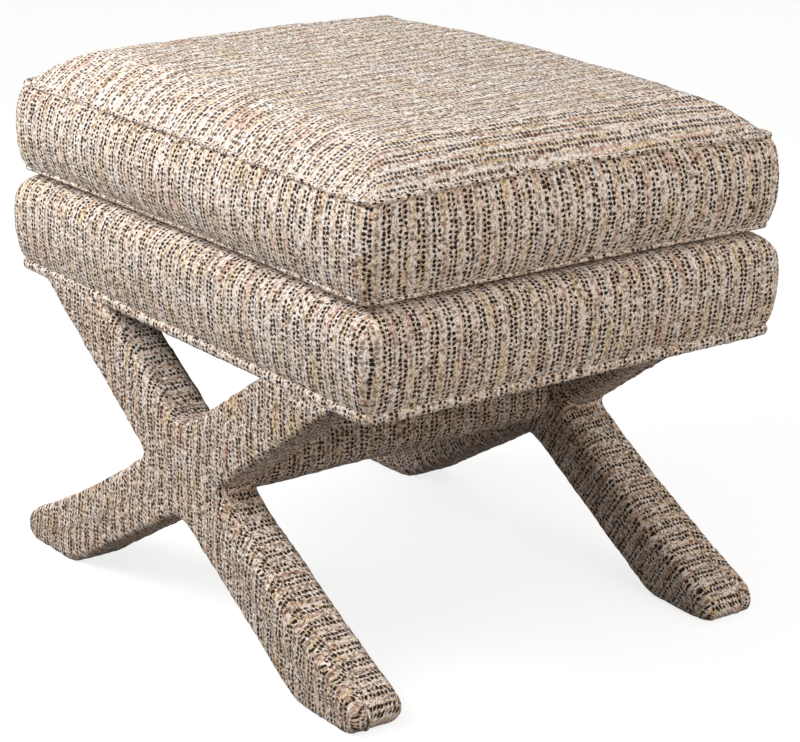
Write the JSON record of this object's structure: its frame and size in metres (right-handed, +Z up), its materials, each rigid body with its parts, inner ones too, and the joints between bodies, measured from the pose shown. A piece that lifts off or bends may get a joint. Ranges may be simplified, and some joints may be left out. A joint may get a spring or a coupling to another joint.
{
  "type": "x frame stool",
  "caption": "Upholstered footstool with a loose box cushion on a padded seat base, standing on crossed padded legs joined by a padded stretcher.",
  "frame": {"origin": "on the floor under the middle of the seat", "axes": "+Z up, +X along the seat's long side, -Y to the front, where the picture's left-hand face is"},
  "size_m": [0.6154, 0.4934, 0.526],
  "materials": {
    "tweed": "chunky slub tweed in cream and taupe with dark columns of dots",
    "wadding": "soft white wadding",
    "foam": "cut upholstery foam",
    "dust_cloth": "thin black non-woven cloth",
    "beech": "sawn, unfinished",
    "plywood": "unfinished",
    "zinc_steel": "zinc plated",
    "glide_plastic": "smooth dark plastic",
    "zip_cloth": "plain woven tape",
    "zip_metal": "antique"
  },
  "bodies": {
    "stool": {"base_cover": "tweed", "base_welt": "tweed", "front_x_outer_cover": "tweed", "front_x_inner_cover": "tweed", "back_x_outer_cover": "tweed", "back_x_inner_cover": "tweed", "stretcher_cover": "tweed", "base_side_wadding": "wadding", "front_x_wadding": "wadding", "back_x_wadding": "wadding", "stretcher_wadding": "wadding", "base_foam_pad": "foam", "dust_cover": "dust_cloth", "front_rail": "beech", "back_rail": "beech", "left_rail": "beech", "right_rail": "beech", "corner_blocks": "beech", "front_x_rising_board": "beech", "front_x_falling_board": "beech", "back_x_rising_board": "beech", "back_x_falling_board": "beech", "stretcher_core": "beech", "seat_deck": "plywood", "frame_bolts": "zinc_steel", "stretcher_bolts": "zinc_steel", "bolt_washers": "zinc_steel", "barrel_nuts": "zinc_steel", "corner_screws": "zinc_steel", "deck_screws": "zinc_steel", "lap_screws": "zinc_steel", "dust_cover_staples": "zinc_steel", "foot_glides": "glide_plastic"},
    "cushion": {"cushion_top_panel": "tweed", "cushion_bottom_panel": "tweed", "cushion_boxing": "tweed", "cushion_top_seam": "tweed", "cushion_bottom_seam": "tweed", "cushion_top_wadding": "wadding", "cushion_bottom_wadding": "wadding", "cushion_foam_core": "foam", "zip_tape": "zip_cloth", "zip_chain": "zip_metal", "zip_stops": "zip_metal"},
    "zip_slider": {"zip_slider": "zip_metal"},
    "zip_pull": {"zip_pull": "zip_metal"}
  },
  "joints": [
    {"name": "cushion_lift", "type": "slide", "parent": "stool", "child": "cushion", "axis": [0, 0, 1], "range_m": [0, 0.18]},
    {"name": "zip_run", "type": "slide", "parent": "cushion", "child": "zip_slider", "axis": [1, 0, 0], "range_m": [0, 0.426]},
    {"name": "zip_pull_turn", "type": "hinge", "parent": "zip_slider", "child": "zip_pull", "pos_m": [-0.2134, 0.2451, 0.448], "axis": [0, 0, 1], "range_deg": [0, 180]}
  ]
}
